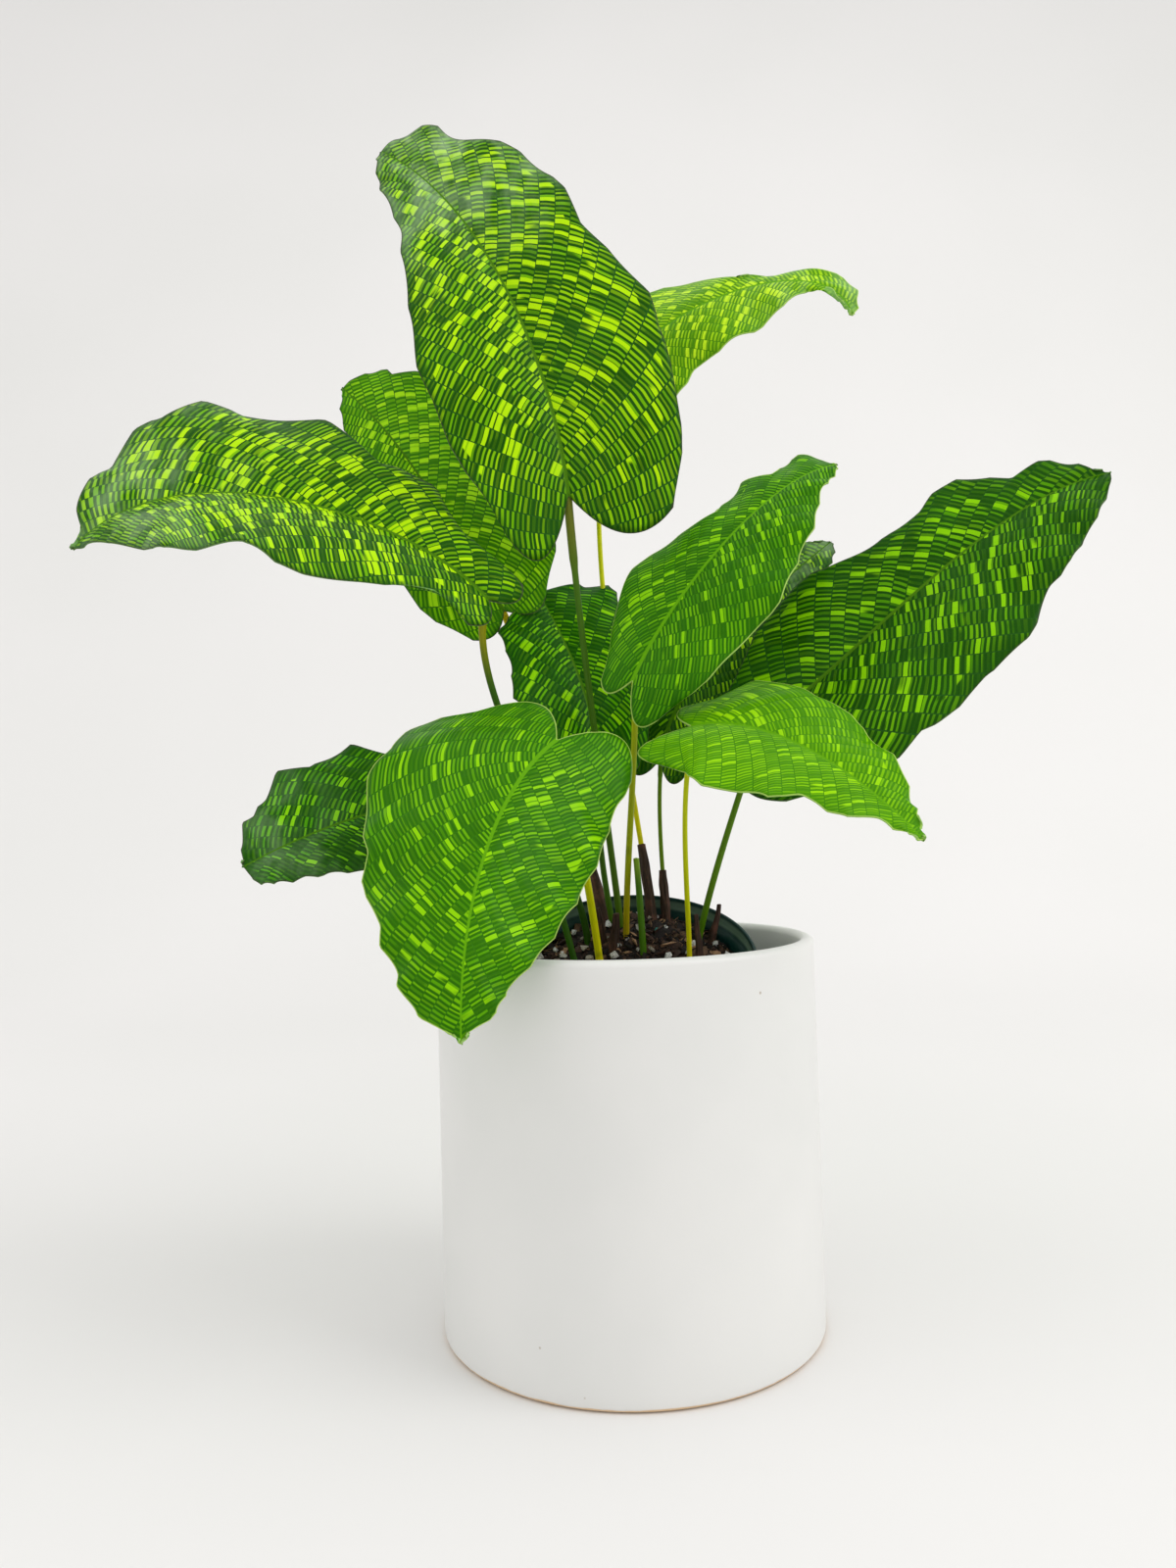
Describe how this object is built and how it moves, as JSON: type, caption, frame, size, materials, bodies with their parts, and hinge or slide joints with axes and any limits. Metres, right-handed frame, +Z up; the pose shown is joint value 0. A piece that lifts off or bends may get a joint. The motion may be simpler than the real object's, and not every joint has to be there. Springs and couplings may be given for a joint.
{
  "type": "potted calathea musaica",
  "caption": "Prayer plant with mosaic-patterned leaves on long petioles, in a tilted nursery pot inside a straight cylindrical ceramic planter.",
  "frame": {"origin": "centre of the planter's flat underside, on the planter's axis", "axes": "+Z up along the planter's axis, -Y towards the side the plant is seen from, which the grow pot tilts to"},
  "size_m": [0.4129, 0.1764, 0.509],
  "materials": {
    "glaze": "satin",
    "foam": "matte",
    "dark_plastic": "satin",
    "potting_mix": "matte",
    "leaf_mature": "satin",
    "leaf_fresh": "satin",
    "petiole_dark": "satin",
    "petiole_pale": "satin",
    "dry_sheath": "matte"
  },
  "bodies": {
    "root": {"planter": "glaze", "riser": "foam", "grow_pot": "dark_plastic", "potting_mix": "potting_mix", "leaf_top": "leaf_mature", "leaf_left": "leaf_mature", "leaf_back_left": "leaf_mature", "leaf_middle": "leaf_mature", "leaf_big_right": "leaf_mature", "leaf_centre_right": "leaf_fresh", "leaf_front": "leaf_fresh", "leaf_low_right": "leaf_fresh", "leaf_far_left": "leaf_mature", "leaf_upper_right": "leaf_fresh", "leaf_back_right": "leaf_mature", "petiole_top": "petiole_dark", "petiole_left": "petiole_dark", "petiole_back_left": "petiole_pale", "petiole_middle": "petiole_dark", "petiole_big_right": "petiole_dark", "petiole_centre_right": "petiole_pale", "petiole_front": "petiole_pale", "petiole_low_right": "petiole_pale", "petiole_far_left": "petiole_dark", "petiole_upper_right": "petiole_pale", "petiole_back_right": "petiole_dark", "petiole_cut_stub": "petiole_dark", "sheath_upper_right": "dry_sheath", "sheath_back_right": "dry_sheath", "sheath_back_left": "dry_sheath", "dry_sheath_crown_left": "dry_sheath", "dry_sheath_crown_front": "dry_sheath", "dry_sheath_right_front": "dry_sheath", "dry_sheath_right_back": "dry_sheath"}
  },
  "joints": []
}
